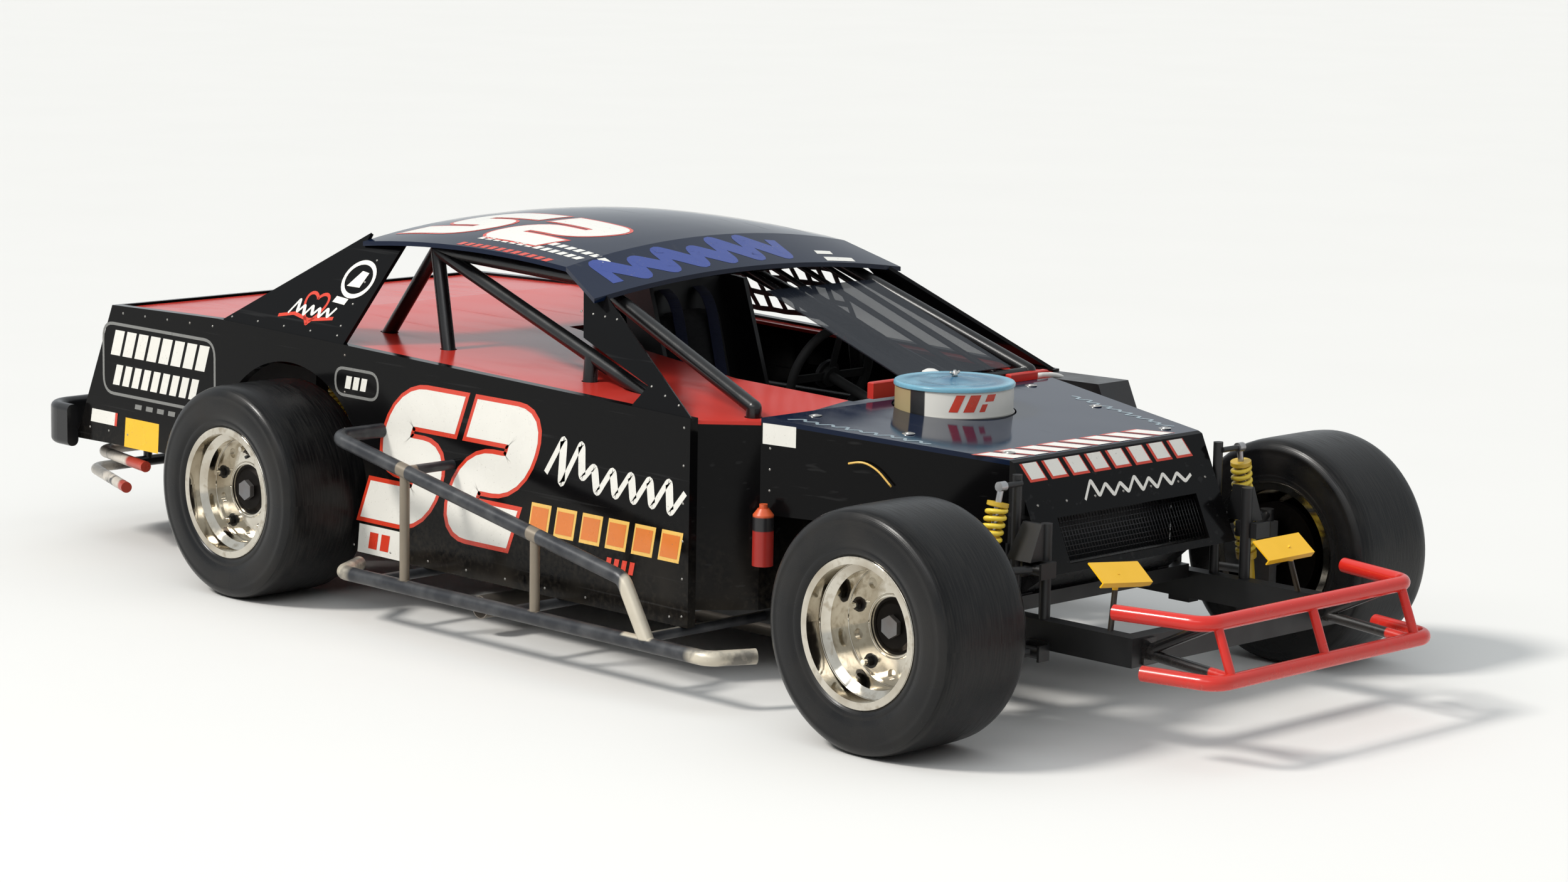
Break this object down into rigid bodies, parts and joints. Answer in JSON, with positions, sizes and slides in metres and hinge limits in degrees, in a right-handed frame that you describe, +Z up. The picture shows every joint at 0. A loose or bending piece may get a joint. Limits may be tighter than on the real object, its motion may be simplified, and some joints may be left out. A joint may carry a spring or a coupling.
{
  "type": "open-wheel modified stock car",
  "caption": "Open-wheel short-track race car with an enclosed roofed cabin, tube bumpers and side guards, steered front wheels and free-rolling slick tyres",
  "frame": {"origin": "middle of the overall length and width, on the ground under the tyres", "axes": "+X to the car's left, the driver's side; -Y to the front; +Z up"},
  "size_m": [2.09, 4.76, 1.1948],
  "materials": {
    "bare_aluminium": "bare sheet",
    "body_black": "gloss black paint on sheet",
    "bumper_red": "gloss red paint on tube",
    "cage_paint": "gloss black paint",
    "cast_housing": "cast housing",
    "cleaner_blue": "pale blue gloss lid",
    "cleaner_white": "white band with black and gold parts",
    "clear_sheet": "tinted clear sheet",
    "deck_red": "gloss red paint on sheet",
    "engine_paint": "dark casting",
    "frame_paint": "satin black paint",
    "fuel_cell_plastic": "black box",
    "grip_black": "soft black grip",
    "guard_steel": "grey tube with rubbed edges",
    "net_webbing": "black woven webbing",
    "pipe_steel": "heat-tinted steel pipe",
    "plate_yellow": "yellow sheet",
    "roof_navy": "very dark navy gloss paint",
    "seat_metal": "bent aluminium shell",
    "shock_yellow": "yellow coil spring and body",
    "steel": "plain steel",
    "tank_paint": "red round tank and black box tank",
    "tyre_rubber": "worn slick rubber",
    "wheel_chrome": "bright chrome plate"
  },
  "bodies": {
    "root": {"frame_rails": "frame_paint", "roll_cage": "cage_paint", "floor_pan": "bare_aluminium", "firewall": "body_black", "engine_block": "engine_paint", "exhaust_pipes": "pipe_steel", "air_cleaner": "cleaner_white", "air_cleaner_lid": "cleaner_blue", "radiator": "bare_aluminium", "bulkhead_tanks": "tank_paint", "hood": "roof_navy", "nose": "body_black", "engine_bay_sides": "body_black", "roof": "roof_navy", "pillar_panels": "body_black", "sail_panels": "body_black", "interior_deck": "deck_red", "rear_deck": "deck_red", "tail_panel": "body_black", "windshield": "clear_sheet", "seat": "seat_metal", "steering_wheel": "grip_black", "window_net": "net_webbing", "fuel_cell": "fuel_cell_plastic", "front_arms": "frame_paint", "rear_axle": "cast_housing", "coil_overs": "shock_yellow", "front_bumper": "bumper_red", "front_plates": "plate_yellow", "rear_bumper": "cage_paint", "side_guards": "guard_steel", "door_right": "body_black", "door_left": "body_black", "quarter_right": "body_black", "quarter_left": "body_black"},
    "steer_right": {"knuckle_right": "steel"},
    "steer_left": {"knuckle_left": "steel"},
    "front_wheel_right": {"front_wheel_right": "wheel_chrome", "front_tyre_right": "tyre_rubber"},
    "rear_wheel_right": {"rear_wheel_right": "wheel_chrome", "rear_tyre_right": "tyre_rubber"},
    "front_wheel_left": {"front_wheel_left": "wheel_chrome", "front_tyre_left": "tyre_rubber"},
    "rear_wheel_left": {"rear_wheel_left": "wheel_chrome", "rear_tyre_left": "tyre_rubber"}
  },
  "joints": [
    {"name": "steer_right", "type": "hinge", "parent": "root", "child": "steer_right", "pos_m": [-0.69, -1.61, 0.332], "axis": [0, 0, 1], "range_deg": [-22, 22]},
    {"name": "steer_left", "type": "hinge", "parent": "root", "child": "steer_left", "pos_m": [0.69, -1.61, 0.332], "axis": [0, 0, 1], "range_deg": [-22, 22]},
    {"name": "roll_front_right", "type": "hinge", "parent": "steer_right", "child": "front_wheel_right", "pos_m": [-0.88, -1.61, 0.332], "axis": [1, 0, 0], "continuous": true},
    {"name": "roll_rear_right", "type": "hinge", "parent": "root", "child": "rear_wheel_right", "pos_m": [-0.88, 1.09, 0.332], "axis": [1, 0, 0], "continuous": true},
    {"name": "roll_front_left", "type": "hinge", "parent": "steer_left", "child": "front_wheel_left", "pos_m": [0.88, -1.61, 0.332], "axis": [1, 0, 0], "continuous": true},
    {"name": "roll_rear_left", "type": "hinge", "parent": "root", "child": "rear_wheel_left", "pos_m": [0.88, 1.09, 0.332], "axis": [1, 0, 0], "continuous": true}
  ],
  "couplings": [
    {"joint": "steer_left", "follows": "steer_right", "ratio": 1}
  ]
}
